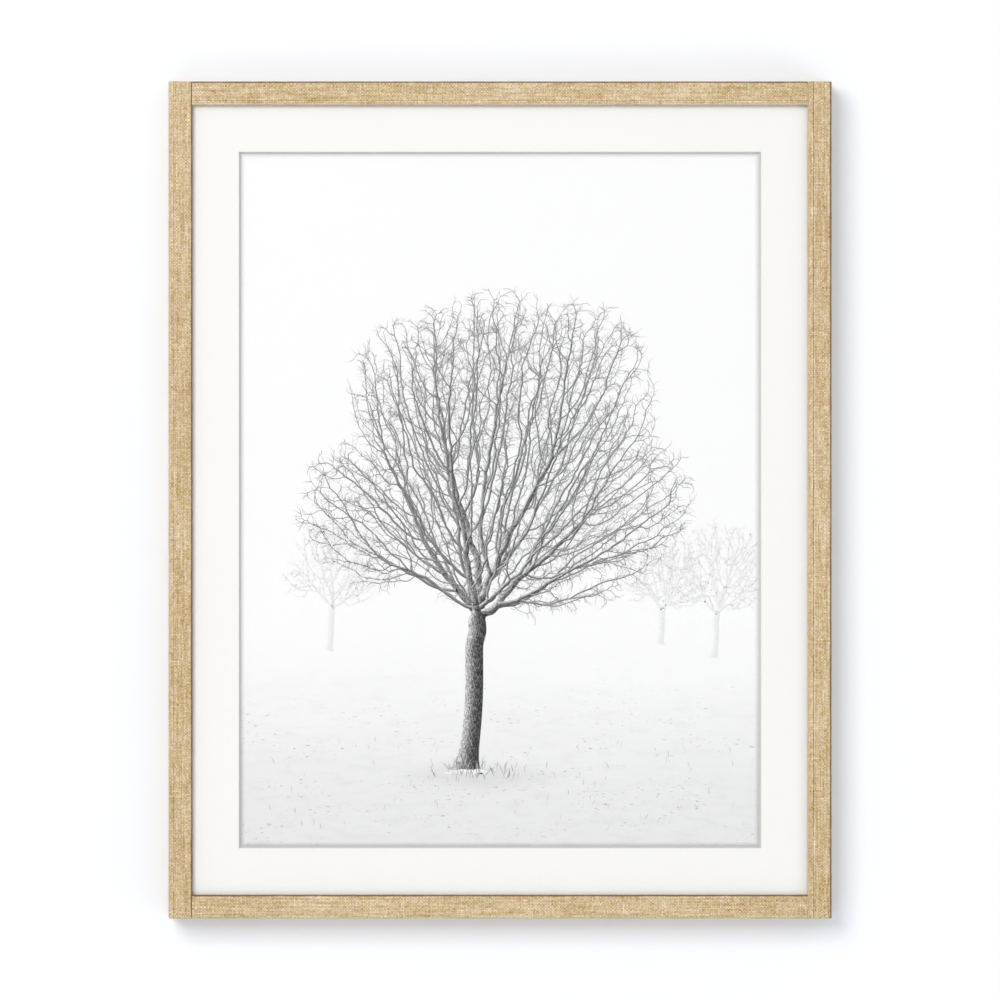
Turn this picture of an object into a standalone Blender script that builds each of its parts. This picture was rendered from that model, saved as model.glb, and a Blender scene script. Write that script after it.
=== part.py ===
"""A glazed and matted picture in a linen-wrapped box frame, at its real size in metres.

X runs to the right as the picture is seen from the front, Y runs from the room towards the wall, and Z is up.
The origin is where the wall's nail bears: on the plane of the wall, behind the hanger's middle notch.

The two stiles run the full height, and the top and bottom rails butt between them. Each rail is a wood core in
its own linen wrap. A rabbet behind the frame's lip holds the glazing, the mat, the print and the backing board,
which a ring of steel points keeps in place. A toothed hanger and two bumpers carry the picture on the wall.
"""

import math

import bmesh
import bpy
from mathutils import Matrix, Vector

# Driving sizes
WINDOW_WIDTH = 0.4572  # the mat's opening, 18 by 24 inches
WINDOW_HEIGHT = 0.6096
MAT_BORDER = 0.0404  # the mat that shows between its opening and the frame
FACE_WIDTH = 0.0208  # a rail's front face
FRAME_DEPTH = 0.0300
LIP_DEPTH = 0.0030  # the part of a rail that reaches in front of the glazing
RABBET_WIDTH = 0.0064  # how far the rabbet is cut in behind the lip
LINEN_THICKNESS = 0.0005
EASING = 0.0009  # the radius of the linen's front edges
GAP = 0.0003  # between neighbouring pieces

# What the rabbet holds, from front to back
GLAZING_THICKNESS = 0.0015
MAT_THICKNESS = 0.0030
BEVEL_WIDTH = 0.0017  # how far the mat's cut edge slopes inwards
PRINT_THICKNESS = 0.0004
BACKING_THICKNESS = 0.0030
FIT_SLACK = 0.0008  # between these sheets and the rabbet's walls

# Steel points driven into the rabbet's walls behind the backing
POINT_LENGTH = 0.0200
POINT_WIDTH = 0.0070
POINT_THICKNESS = 0.0006
POINT_DRIVEN = 0.0065  # the length inside the wood
POINT_CURL = 0.0012  # how far the free end bends away from the backing
POINTS_UP_A_SIDE = 4
POINTS_ACROSS = 3

# Toothed hanger on the top rail
HANGER_LENGTH = 0.0950
HANGER_HEIGHT = 0.0110
HANGER_THICKNESS = 0.0009
HANGER_RISE = 0.0015  # how far its middle stands off from its ends
HANGER_END = 0.0120  # each flat end
HANGER_RAMP = 0.0060  # each slope from an end to the middle
TOOTH_PITCH = 0.0040
TOOTH_DEPTH = 0.0022
TEETH = 14
SCREW_HEAD_RADIUS = 0.0027
SCREW_HEAD_HEIGHT = 0.0011
SCREW_SHANK_RADIUS = 0.0011
SCREW_LENGTH = 0.0100
SCREW_SLOT = 0.0007
ROUND_SIDES = 20

# Bumpers at the bottom corners
BUMPER_RADIUS = 0.0050
BUMPER_THICKNESS = 0.0030
BUMPER_RISE = 0.0140  # from the frame's bottom edge to a bumper's centre

# Places that follow from the driving sizes
SIGHT_WIDTH = WINDOW_WIDTH + 2 * MAT_BORDER
SIGHT_HEIGHT = WINDOW_HEIGHT + 2 * MAT_BORDER
OUTER_WIDTH = SIGHT_WIDTH + 2 * FACE_WIDTH
OUTER_HEIGHT = SIGHT_HEIGHT + 2 * FACE_WIDTH
RABBET_HALF_WIDTH = SIGHT_WIDTH / 2 + RABBET_WIDTH
RABBET_HALF_HEIGHT = SIGHT_HEIGHT / 2 + RABBET_WIDTH
SHEET_HALF_WIDTH = RABBET_HALF_WIDTH - FIT_SLACK
SHEET_HALF_HEIGHT = RABBET_HALF_HEIGHT - FIT_SLACK

BACK_Y = -BUMPER_THICKNESS - GAP
FRONT_Y = BACK_Y - FRAME_DEPTH
LIP_Y = FRONT_Y + LIP_DEPTH
GLAZING_Y = LIP_Y + GAP
MAT_Y = GLAZING_Y + GLAZING_THICKNESS + GAP
PRINT_Y = MAT_Y + MAT_THICKNESS + GAP
BACKING_Y = PRINT_Y + PRINT_THICKNESS + GAP
POINT_Y = BACKING_Y + BACKING_THICKNESS + GAP

BACK_FACE_WIDTH = FACE_WIDTH - RABBET_WIDTH  # the wood left behind the rabbet
HANGER_INSET = (BACK_FACE_WIDTH - HANGER_HEIGHT) / 2  # from the frame's top edge
TOP_Z = HANGER_INSET + HANGER_HEIGHT - TOOTH_DEPTH
MIDDLE_Z = TOP_Z - OUTER_HEIGHT / 2
BOTTOM_Z = TOP_Z - OUTER_HEIGHT
SCREW_X = HANGER_LENGTH / 2 - HANGER_END / 2
HANGER_Z = TOP_Z - HANGER_INSET - HANGER_HEIGHT / 2

PAST = 0.0010  # how far a cutter runs past the face it opens

LINEN = ("linen", (0.66, 0.51, 0.31), 0.85, 0.0)
WOOD = ("raw_wood", (0.60, 0.44, 0.28), 0.70, 0.0)
GLAZING = ("clear_glazing", (0.95, 0.97, 0.97), 0.05, 0.0)
MAT_BOARD = ("mat_board", (0.95, 0.94, 0.91), 0.90, 0.0)
PRINT_PAPER = ("print_paper", (0.88, 0.88, 0.88), 0.80, 0.0)
FIBREBOARD = ("backing_board", (0.38, 0.27, 0.17), 0.80, 0.0)
STEEL = ("plated_steel", (0.66, 0.66, 0.64), 0.35, 1.0)
RUBBER = ("bumper_rubber", (0.05, 0.05, 0.05), 0.75, 0.0)


def clear_scene():
    for thing in list(bpy.data.objects):
        bpy.data.objects.remove(thing, do_unlink=True)


def finish_of(name, colour, roughness, metallic):
    """A Principled material in this colour."""
    finish = bpy.data.materials.new(name)
    finish.use_nodes = True
    shader = finish.node_tree.nodes["Principled BSDF"]
    shader.inputs["Base Color"].default_value = (*colour, 1.0)
    shader.inputs["Roughness"].default_value = roughness
    shader.inputs["Metallic"].default_value = metallic
    finish.diffuse_color = (*colour, 1.0)
    return finish


def add(name, shape, finish, place=(0.0, 0.0, 0.0)):
    """Makes an object of a bmesh, with a material of its own, on the picture's empty."""
    bmesh.ops.recalc_face_normals(shape, faces=shape.faces)
    mesh = bpy.data.meshes.new(name)
    shape.to_mesh(mesh)
    shape.free()
    thing = bpy.data.objects.new(name, mesh)
    thing.location = place
    thing.parent = bpy.data.objects["picture"]
    bpy.context.collection.objects.link(thing)
    label, colour, roughness, metallic = finish
    mesh.materials.append(finish_of(f"{name}_{label}", colour, roughness, metallic))
    return thing


def add_cutter(name, shape):
    """A shape that only cuts others."""
    thing = add(name, shape, WOOD)
    thing.hide_render = True
    thing.display_type = "WIRE"
    return thing


def cut(thing, cutter):
    modifier = thing.modifiers.new(cutter.name, "BOOLEAN")
    modifier.operation = "DIFFERENCE"
    modifier.solver = "EXACT"
    modifier.object = cutter


def block(low, high, into=None):
    """A box between two corners, in a new bmesh or in one that is given."""
    shape = into or bmesh.new()
    low, high = Vector(low), Vector(high)
    size = Matrix.Diagonal((*(high - low), 1.0))
    bmesh.ops.create_cube(shape, size=1.0, matrix=Matrix.Translation((low + high) / 2) @ size)
    return shape


def eased_block(low, high, radius, along):
    """A box whose front edges, and whose long edges off the back, are rounded. Along is its long axis."""
    shape = block(low, high)
    back = max(v.co.y for v in shape.verts)

    def is_eased(edge):
        direction = edge.verts[1].co - edge.verts[0].co
        at_back = all(abs(v.co.y - back) < GAP for v in edge.verts)
        runs_long = abs(direction[along]) > GAP
        faces_room = abs(direction.y) < GAP
        ends_show = along == 2
        return not at_back and (runs_long or (faces_room and ends_show))

    edges = [edge for edge in shape.edges if is_eased(edge)]
    bmesh.ops.bevel(shape, geom=edges, offset=radius, segments=3, profile=0.5, affect="EDGES")
    return shape


def turned(profile, sides=ROUND_SIDES):
    """A closed solid turned about Y from points (radius, y), whose first and last lie on the axis."""
    shape = bmesh.new()
    rings = []
    for radius, y in profile:
        if radius == 0.0:
            rings.append([shape.verts.new((0.0, y, 0.0))])
            continue
        turns = [2 * math.pi * k / sides for k in range(sides)]
        rings.append([shape.verts.new((radius * math.cos(t), y, radius * math.sin(t))) for t in turns])
    for ring, following in zip(rings, rings[1:]):
        for k in range(sides):
            near = [ring[k % len(ring)], ring[(k + 1) % len(ring)]]
            far = [following[(k + 1) % len(following)], following[k % len(following)]]
            corners = list(dict.fromkeys(near + far))
            shape.faces.new(corners)
    return shape


def lofted(sections):
    """A closed solid through rectangular sections, each four corners in the same turning order."""
    shape = bmesh.new()
    rings = [[shape.verts.new(corner) for corner in section] for section in sections]
    for ring, following in zip(rings, rings[1:]):
        for k in range(4):
            shape.faces.new((ring[k], ring[(k + 1) % 4], following[(k + 1) % 4], following[k]))
    shape.faces.new(rings[0])
    shape.faces.new(reversed(rings[-1]))
    return shape


def rail_box(side):
    """Low and high corner of a rail with its linen, and the index of its long axis."""
    half_width, half_height = OUTER_WIDTH / 2, OUTER_HEIGHT / 2
    reach = SIGHT_WIDTH / 2 - GAP
    spans = {
        "left": ((-half_width, -SIGHT_WIDTH / 2), (-half_height, half_height), 2),
        "right": ((SIGHT_WIDTH / 2, half_width), (-half_height, half_height), 2),
        "top": ((-reach, reach), (SIGHT_HEIGHT / 2, half_height), 0),
        "bottom": ((-reach, reach), (-half_height, -SIGHT_HEIGHT / 2), 0),
    }
    across, up, along = spans[side]
    low = Vector((across[0], FRONT_Y, MIDDLE_Z + up[0]))
    high = Vector((across[1], BACK_Y, MIDDLE_Z + up[1]))
    return low, high, along


def inset_box(low, high, along, inset, past=0.0):
    """The box less an inset on every face that the linen covers. It may run past the faces left bare."""
    low, high = low.copy(), high.copy()
    covers_ends = along == 2
    low.y += inset
    high.y += past
    for axis in (0, 2):
        bare = axis == along and not covers_ends
        low[axis] += -past if bare else inset
        high[axis] -= -past if bare else inset
    return low, high


def rabbet_cutter():
    """The space behind the lip, open at the back, for all four rails."""
    low = (-RABBET_HALF_WIDTH, LIP_Y, MIDDLE_Z - RABBET_HALF_HEIGHT)
    high = (RABBET_HALF_WIDTH, BACK_Y + PAST, MIDDLE_Z + RABBET_HALF_HEIGHT)
    return add_cutter("rabbet_cutter", block(low, high))


def point_places():
    """Where each steel point crosses the rabbet's wall: its name, that place, and the way out of the wood."""
    places = []
    for side, sign in (("left", -1), ("right", 1)):
        for k in range(POINTS_UP_A_SIDE):
            up = (k + 0.5) / POINTS_UP_A_SIDE - 0.5
            wall = Vector((sign * RABBET_HALF_WIDTH, POINT_Y, MIDDLE_Z + up * 2 * RABBET_HALF_HEIGHT))
            places.append((f"point_{side}_{k + 1}", wall, Vector((-sign, 0, 0))))
    for side, sign in (("top", 1), ("bottom", -1)):
        for k in range(POINTS_ACROSS):
            across = (k + 0.5) / POINTS_ACROSS - 0.5
            wall = Vector((across * 2 * RABBET_HALF_WIDTH, POINT_Y, MIDDLE_Z + sign * RABBET_HALF_HEIGHT))
            places.append((f"point_{side}_{k + 1}", wall, Vector((0, 0, -sign))))
    return places


def slot_cutter(places):
    """The slots that the points are driven into, a gap larger than the steel all round."""
    shape = bmesh.new()
    for _, wall, outwards in places:
        sideways = Vector((abs(outwards.z), 0, abs(outwards.x))) * (POINT_WIDTH / 2 + GAP)
        deepest = wall - outwards * (POINT_DRIVEN + GAP)
        mouth = wall + outwards * PAST
        corners = (deepest - sideways, deepest + sideways, mouth - sideways, mouth + sideways)
        low = Vector([min(c[axis] for c in corners) for axis in range(3)])
        high = Vector([max(c[axis] for c in corners) for axis in range(3)])
        low.y -= GAP
        high.y += POINT_THICKNESS + GAP
        block(low, high, shape)
    return add_cutter("slot_cutter", shape)


def screw_hole_cutter(name, radius, front, back):
    """The pair of holes that the hanger's screws go through."""
    shape = bmesh.new()
    turn = Matrix.Rotation(math.pi / 2, 4, "X")
    for side in (-1, 1):
        centre = Vector((side * SCREW_X, (front + back) / 2, HANGER_Z))
        bmesh.ops.create_cone(
            shape,
            cap_ends=True,
            segments=ROUND_SIDES,
            radius1=radius,
            radius2=radius,
            depth=back - front,
            matrix=Matrix.Translation(centre) @ turn,
        )
    return add_cutter(name, shape)


def build_rails(rabbet, slots, pilots):
    """Each rail as a wood core, and round its front, sides and free ends the linen."""
    for side in ("left", "right", "top", "bottom"):
        low, high, along = rail_box(side)
        inner = LINEN_THICKNESS + GAP
        core = add(f"core_{side}", eased_block(*inset_box(low, high, along, inner), EASING - inner, along), WOOD)
        cut(core, rabbet)
        cut(core, slots)
        if side == "top":
            cut(core, pilots)
        inside = inset_box(low, high, along, LINEN_THICKNESS, PAST)
        hollow = add_cutter(f"hollow_{side}", eased_block(*inside, EASING - LINEN_THICKNESS, along))
        wrap = add(f"linen_{side}", eased_block(low, high, EASING, along), LINEN)
        cut(wrap, hollow)
        cut(wrap, rabbet)


def sheet(name, front, thickness, finish):
    """A flat sheet that fills the rabbet."""
    half = Vector((SHEET_HALF_WIDTH, thickness / 2, SHEET_HALF_HEIGHT))
    return add(name, block(-half, half), finish, (0.0, front + thickness / 2, MIDDLE_Z))


def build_mat():
    """The mat, with a window whose edges slope inwards from the front."""
    shape = bmesh.new()

    def ring(half_width, half_height, y):
        corners = ((-1, -1), (1, -1), (1, 1), (-1, 1))
        return [shape.verts.new((x * half_width, y, z * half_height)) for x, z in corners]

    half_width, half_height = WINDOW_WIDTH / 2, WINDOW_HEIGHT / 2
    rings = [
        ring(half_width, half_height, 0.0),
        ring(SHEET_HALF_WIDTH, SHEET_HALF_HEIGHT, 0.0),
        ring(SHEET_HALF_WIDTH, SHEET_HALF_HEIGHT, MAT_THICKNESS),
        ring(half_width - BEVEL_WIDTH, half_height - BEVEL_WIDTH, MAT_THICKNESS),
    ]
    for near, far in zip(rings, rings[1:] + rings[:1]):
        for k in range(4):
            shape.faces.new((near[k], near[(k + 1) % 4], far[(k + 1) % 4], far[k]))
    add("mat", shape, MAT_BOARD, (0.0, MAT_Y, MIDDLE_Z))


def build_points(places):
    """Steel points: a narrow driven end, straight sides, and a free end that narrows and curls back."""
    free = POINT_LENGTH - POINT_DRIVEN
    stations = (
        (-POINT_DRIVEN, 0.35, 0.0),
        (-POINT_DRIVEN + 0.0025, 1.0, 0.0),
        (free * 0.55, 1.0, 0.0),
        (free * 0.80, 1.0, POINT_CURL * 0.4),
        (free * 0.95, 0.8, POINT_CURL * 0.8),
        (free, 0.45, POINT_CURL),
    )
    for name, wall, outwards in places:
        sideways = Vector((abs(outwards.z), 0, abs(outwards.x))) * (POINT_WIDTH / 2)
        sections = []
        for along, width, lift in stations:
            middle = outwards * along + Vector((0, lift, 0))
            behind = Vector((0, POINT_THICKNESS, 0))
            near, far = middle - sideways * width, middle + sideways * width
            sections.append((near, far, far + behind, near + behind))
        add(name, lofted(sections), STEEL, wall)


def build_hanger():
    """A steel strip, toothed along its lower edge, whose middle stands off for the nail's head."""
    half = HANGER_LENGTH / 2
    middle = half - HANGER_END - HANGER_RAMP
    toothed = TEETH * TOOTH_PITCH / 2
    stations = [(-half, 0.0, 0.0), (-half + HANGER_END, 0.0, 0.0), (-middle, HANGER_RISE, 0.0)]
    for k in range(2 * TEETH + 1):
        notch = TOOTH_DEPTH if k % 2 == 0 else 0.0
        stations.append((-toothed + k * TOOTH_PITCH / 2, HANGER_RISE, notch))
    stations += [(middle, HANGER_RISE, 0.0), (half - HANGER_END, 0.0, 0.0), (half, 0.0, 0.0)]
    sections = []
    for x, rise, notch in stations:
        bottom, top = notch - HANGER_HEIGHT / 2, HANGER_HEIGHT / 2
        near, far = rise, rise + HANGER_THICKNESS
        sections.append(((x, near, bottom), (x, far, bottom), (x, far, top), (x, near, top)))
    hanger = add("hanger", lofted(sections), STEEL, (0.0, BACK_Y + GAP, HANGER_Z))
    front, back = BACK_Y - PAST, BACK_Y + GAP + HANGER_THICKNESS + PAST
    cut(hanger, screw_hole_cutter("hanger_holes", SCREW_SHANK_RADIUS + GAP, front, back))


def build_screws():
    """The hanger's screws, each with a slotted domed head."""
    seat = BACK_Y + 2 * GAP + HANGER_THICKNESS
    head, shank = SCREW_HEAD_RADIUS, SCREW_SHANK_RADIUS
    profile = (
        (0.0, -SCREW_LENGTH),
        (shank * 0.9, -SCREW_LENGTH * 0.75),
        (shank, 0.0),
        (head, 0.0),
        (head, SCREW_HEAD_HEIGHT * 0.35),
        (head * 0.85, SCREW_HEAD_HEIGHT * 0.75),
        (head * 0.5, SCREW_HEAD_HEIGHT),
        (0.0, SCREW_HEAD_HEIGHT),
    )
    for side, sign in (("left", -1), ("right", 1)):
        centre = Vector((sign * SCREW_X, seat, HANGER_Z))
        screw = add(f"hanger_screw_{side}", turned(profile), STEEL, centre)
        half = Vector((SCREW_SLOT / 2, 0.0, head + PAST))
        low = centre - half + Vector((0, SCREW_HEAD_HEIGHT * 0.45, 0))
        high = centre + half + Vector((0, SCREW_HEAD_HEIGHT + PAST, 0))
        cut(screw, add_cutter(f"screw_slot_{side}", block(low, high)))


def build_bumpers():
    """Rubber bumpers whose backs lie on the wall."""
    height, radius = BUMPER_THICKNESS, BUMPER_RADIUS
    profile = ((0.0, 0.0), (radius, 0.0), (radius, height * 0.7), (radius * 0.88, height), (0.0, height))
    from_middle = OUTER_WIDTH / 2 - BACK_FACE_WIDTH / 2
    for side, sign in (("left", -1), ("right", 1)):
        place = (sign * from_middle, BACK_Y + GAP, BOTTOM_Z + BUMPER_RISE)
        add(f"bumper_{side}", turned(profile), RUBBER, place)


def shade_round_pieces():
    for thing in bpy.data.objects:
        if thing.type == "MESH":
            thing.data.shade_smooth()
            thing.data.set_sharp_from_angle(angle=math.radians(30))


def main():
    clear_scene()
    bpy.context.collection.objects.link(bpy.data.objects.new("picture", None))
    places = point_places()
    pilot_front = BACK_Y - SCREW_LENGTH - PAST
    pilots = screw_hole_cutter("pilot_holes", SCREW_SHANK_RADIUS + GAP, pilot_front, BACK_Y + PAST)
    build_rails(rabbet_cutter(), slot_cutter(places), pilots)
    sheet("glazing", GLAZING_Y, GLAZING_THICKNESS, GLAZING)
    build_mat()
    sheet("print", PRINT_Y, PRINT_THICKNESS, PRINT_PAPER)
    sheet("backing", BACKING_Y, BACKING_THICKNESS, FIBREBOARD)
    build_points(places)
    build_hanger()
    build_screws()
    build_bumpers()
    shade_round_pieces()


main()
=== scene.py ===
"""The looks of the framed picture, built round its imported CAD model, in metres.

X runs to the right as the picture is seen from the front, Y runs into the wall, and Z is up. Four woven linen
wraps replace the plain CAD ones. The print carries a generic winter scene: a bare, frosted tree on pale snow,
drawn in ink strokes on the paper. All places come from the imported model's own boxes.
"""

import math

import bmesh
import bpy
import numpy as np
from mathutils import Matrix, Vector


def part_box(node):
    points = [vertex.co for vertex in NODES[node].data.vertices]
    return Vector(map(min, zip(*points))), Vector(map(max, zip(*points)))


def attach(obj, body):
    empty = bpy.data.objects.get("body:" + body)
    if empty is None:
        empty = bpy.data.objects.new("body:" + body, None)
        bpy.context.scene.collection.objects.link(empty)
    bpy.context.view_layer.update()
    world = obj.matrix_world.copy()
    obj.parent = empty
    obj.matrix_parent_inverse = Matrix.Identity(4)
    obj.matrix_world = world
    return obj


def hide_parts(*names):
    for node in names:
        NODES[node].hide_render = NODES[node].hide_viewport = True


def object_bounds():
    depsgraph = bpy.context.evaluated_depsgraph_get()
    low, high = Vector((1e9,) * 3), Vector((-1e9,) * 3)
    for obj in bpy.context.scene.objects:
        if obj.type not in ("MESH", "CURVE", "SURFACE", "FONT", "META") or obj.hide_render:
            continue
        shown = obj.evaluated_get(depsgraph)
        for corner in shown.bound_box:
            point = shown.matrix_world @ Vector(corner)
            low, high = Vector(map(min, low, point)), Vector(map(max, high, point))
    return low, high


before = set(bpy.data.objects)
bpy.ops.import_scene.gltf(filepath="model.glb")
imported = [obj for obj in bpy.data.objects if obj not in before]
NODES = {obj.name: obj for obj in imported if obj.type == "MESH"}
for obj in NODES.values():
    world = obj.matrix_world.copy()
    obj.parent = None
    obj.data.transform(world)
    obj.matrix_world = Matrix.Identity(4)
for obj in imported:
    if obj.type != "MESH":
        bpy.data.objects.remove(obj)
CAD_LOW, CAD_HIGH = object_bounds()

# Linen, as a plain weave with uneven threads
THREAD_PITCH = 0.00135
LINEN_THICKNESS = 0.0005
GAP = 0.0003  # between pieces that touch
END_REACH = 0.00015  # how far the level rails' linen fills the gap to a stile
GLAZING_PLAY = 0.0008  # the rabbet's spare room round the glazing
EASING = 0.0009  # the radius of the linen's front edges
RELIEF = 0.00011  # how far a thread's crown stands above the weave's middle
WANDER = 0.00022  # how far a thread strays from its line
INNER_ROWS = 4  # fine rows to one row of the hidden inner side
INNER_COLUMNS = 20
BAKE_STRIPS = 4  # a rail's cloth is cut into this many strips on its bake map
SEAM_PLACE = 0.0042  # from a rail's left or lower edge
SEAM_STRENGTH = {"left": 0.6, "right": 1.0, "top": 0.35, "bottom": 0.35}

# The mat's window at the foot of its bevel, as the mat's own vertices give it
MIDDLE_Z = (CAD_LOW.z + CAD_HIGH.z) / 2
MAT_POINTS = [vertex.co for vertex in NODES["mat"].data.vertices]
WINDOW_HALF_WIDTH = min(abs(point.x) for point in MAT_POINTS)
WINDOW_HALF_HEIGHT = min(abs(point.z - MIDDLE_Z) for point in MAT_POINTS)
PAPER_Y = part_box("print")[0].y

# The camera's view across the front plane
VIEW_WIDTH = 0.8743
LENS = 200.0


class Paint:
    """A Principled material with short ways to add nodes and to join them."""

    def __init__(self, name, roughness=0.5, metallic=0.0):
        self.material = bpy.data.materials.new(name)
        self.material.use_nodes = True
        self.tree = self.material.node_tree
        self.shader = self.tree.nodes["Principled BSDF"]
        self.shader.inputs["Roughness"].default_value = roughness
        self.shader.inputs["Metallic"].default_value = metallic

    def node(self, kind, **settings):
        made = self.tree.nodes.new(kind)
        for name, value in settings.items():
            setattr(made, name, value)
        return made

    def put(self, socket, value):
        if isinstance(value, bpy.types.NodeSocket):
            self.tree.links.new(value, socket)
        elif value is not None:
            socket.default_value = value

    def set(self, name, value):
        self.put(self.shader.inputs[name], value)

    def place(self):
        """A point's place in metres."""
        return self.node("ShaderNodeTexCoord").outputs["Object"]

    def uv(self, name):
        return self.node("ShaderNodeUVMap", uv_map=name).outputs["UV"]

    def attribute(self, name):
        return self.node("ShaderNodeAttribute", attribute_name=name).outputs["Fac"]

    def split(self, vector):
        made = self.node("ShaderNodeSeparateXYZ")
        self.put(made.inputs[0], vector)
        return made.outputs[0], made.outputs[1], made.outputs[2]

    def join(self, x=0.0, y=0.0, z=0.0):
        made = self.node("ShaderNodeCombineXYZ")
        for socket, value in zip(made.inputs, (x, y, z)):
            self.put(socket, value)
        return made.outputs[0]

    def math(self, operation, a, b=None, clamp=False):
        made = self.node("ShaderNodeMath", operation=operation, use_clamp=clamp)
        self.put(made.inputs[0], a)
        self.put(made.inputs[1], b)
        return made.outputs[0]

    def plus(self, a, b):
        return self.math("ADD", a, b)

    def less(self, a, b):
        return self.math("SUBTRACT", a, b)

    def times(self, a, b):
        return self.math("MULTIPLY", a, b)

    def stretched(self, vector, scale):
        made = self.node("ShaderNodeVectorMath", operation="MULTIPLY")
        self.put(made.inputs[0], vector)
        self.put(made.inputs[1], scale)
        return made.outputs[0]

    def noise(self, vector, scale=1.0, detail=2.0, roughness=0.5, output="Fac"):
        made = self.node("ShaderNodeTexNoise")
        self.put(made.inputs["Vector"], vector)
        made.inputs["Scale"].default_value = scale
        made.inputs["Detail"].default_value = detail
        made.inputs["Roughness"].default_value = roughness
        return made.outputs[output]

    def dice(self, vector):
        """A random value for each whole place."""
        made = self.node("ShaderNodeTexWhiteNoise", noise_dimensions="3D")
        self.put(made.inputs["Vector"], vector)
        return made.outputs["Value"]

    def between(self, value, low, high, to_low=0.0, to_high=1.0, smooth=True):
        """The value, carried from one range to another and held inside it."""
        made = self.node("ShaderNodeMapRange", interpolation_type="SMOOTHSTEP" if smooth else "LINEAR")
        for socket, number in zip(made.inputs, (value, low, high, to_low, to_high)):
            self.put(socket, number)
        return made.outputs[0]

    def mix(self, share, a, b):
        """From one colour to another, and on past either where the share goes past 0 or 1."""
        made = self.node("ShaderNodeMix", data_type="RGBA", clamp_factor=False)
        self.put(made.inputs["Factor"], share)
        for socket, value in ((made.inputs[6], a), (made.inputs[7], b)):
            self.put(socket, (*value, 1.0) if isinstance(value, tuple) else value)
        return made.outputs[2]

    def shade(self, colour, factor):
        """The colour times a grey factor."""
        made = self.node("ShaderNodeVectorMath", operation="SCALE")
        self.put(made.inputs[0], colour)
        self.put(made.inputs["Scale"], factor)
        return made.outputs[0]

    def bump(self, height, distance, strength=1.0):
        made = self.node("ShaderNodeBump")
        made.inputs["Strength"].default_value = strength
        made.inputs["Distance"].default_value = distance
        self.put(made.inputs["Height"], height)
        self.put(self.shader.inputs["Normal"], made.outputs[0])


# ---------------------------------------------------------------- camera, lights and stage


def make_camera():
    """Straight on, as the photograph is."""
    camera = bpy.data.objects.new("camera", bpy.data.cameras.new("camera"))
    camera.data.lens = LENS
    distance = VIEW_WIDTH * LENS / camera.data.sensor_width
    camera.location = (0.0, CAD_LOW.y - distance, MIDDLE_Z)
    camera.rotation_euler = (math.radians(90), 0, 0)
    camera.data.clip_end = 100
    bpy.context.collection.objects.link(camera)
    bpy.context.scene.camera = camera


def make_softbox(name, place, size, power, colour=(1.0, 1.0, 1.0)):
    """A square area light that faces the picture's middle."""
    lamp = bpy.data.lights.new(name, "AREA")
    lamp.shape = "SQUARE"
    lamp.size = size
    lamp.energy = power
    lamp.color = colour
    box = bpy.data.objects.new(name, lamp)
    box.location = place
    aim = Vector((0.0, 0.0, MIDDLE_Z)) - Vector(place)
    box.rotation_euler = aim.to_track_quat("-Z", "Y").to_euler()
    bpy.context.collection.objects.link(box)


def make_lights():
    """A soft, warm key from the upper left, a weak fill, a light on the back, and cool white all round."""
    bpy.context.scene.view_settings.view_transform = "Standard"
    world = bpy.data.worlds.new("studio")
    world.use_nodes = True
    shade = world.node_tree.nodes["Background"]
    shade.inputs["Color"].default_value = (0.97, 1.0, 1.045, 1.0)
    shade.inputs["Strength"].default_value = 0.73
    bpy.context.scene.world = world
    make_softbox("key", (-2.4, -5.2, MIDDLE_Z + 2.4), 3.2, 182.0, (1.04, 1.0, 0.94))
    make_softbox("fill", (2.64, -1.54, MIDDLE_Z - 1.24), 0.92, 11.0)
    make_softbox("behind", (-1.2, 3.4, MIDDLE_Z + 2.2), 1.4, 70.0)


def make_stage_piece(name, corners, faces, paint):
    mesh = bpy.data.meshes.new(name)
    mesh.from_pydata(corners, [], faces)
    mesh.materials.append(paint.material)
    piece = bpy.data.objects.new(name, mesh)
    bpy.context.collection.objects.link(piece)


def wall_paint():
    """White from the room, and clear from behind, so that the picture's back can be seen."""
    paint = Paint("wall_paint", roughness=0.9)
    grain = paint.noise(paint.place(), 300.0)
    paint.set("Base Color", paint.mix(grain, (0.882, 0.908, 0.957), (0.892, 0.918, 0.967)))
    clear = paint.node("ShaderNodeBsdfTransparent")
    sides = paint.node("ShaderNodeMixShader")
    behind = paint.node("ShaderNodeNewGeometry").outputs["Backfacing"]
    paint.put(sides.inputs[0], behind)
    paint.put(sides.inputs[1], paint.shader.outputs[0])
    paint.put(sides.inputs[2], clear.outputs[0])
    paint.put(paint.tree.nodes["Material Output"].inputs["Surface"], sides.outputs[0])
    return paint


def floor_paint():
    paint = Paint("floor_paint", roughness=0.8)
    grain = paint.noise(paint.place(), 6.0)
    paint.set("Base Color", paint.mix(grain, (0.80, 0.80, 0.79), (0.83, 0.83, 0.82)))
    return paint


def make_stage():
    """A floor, and a wall whose opening, covered by the picture, lets light reach the picture's back."""
    wide, tall, drop = 160.0, 4.0, 2.2
    cover = 0.005  # how far the wall goes on behind the picture
    floor_z = CAD_LOW.z - drop
    wall_y = CAD_HIGH.y + 0.0004
    left, right = CAD_LOW.x + cover, CAD_HIGH.x - cover
    bottom, top = CAD_LOW.z + cover, CAD_HIGH.z - cover
    outside = ((-wide, floor_z), (wide, floor_z), (wide, tall), (-wide, tall))
    opening = ((left, bottom), (right, bottom), (right, top), (left, top))
    wall = [(x, wall_y, z) for x, z in outside + opening]
    round_opening = [(n, (n + 1) % 4, (n + 1) % 4 + 4, n + 4) for n in range(4)]
    make_stage_piece("wall", wall, round_opening, wall_paint())
    floor = [(x, y, floor_z) for x, y in ((-wide, -wide), (wide, -wide), (wide, wall_y), (-wide, wall_y))]
    make_stage_piece("floor", floor, [(0, 1, 2, 3)], floor_paint())


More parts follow.
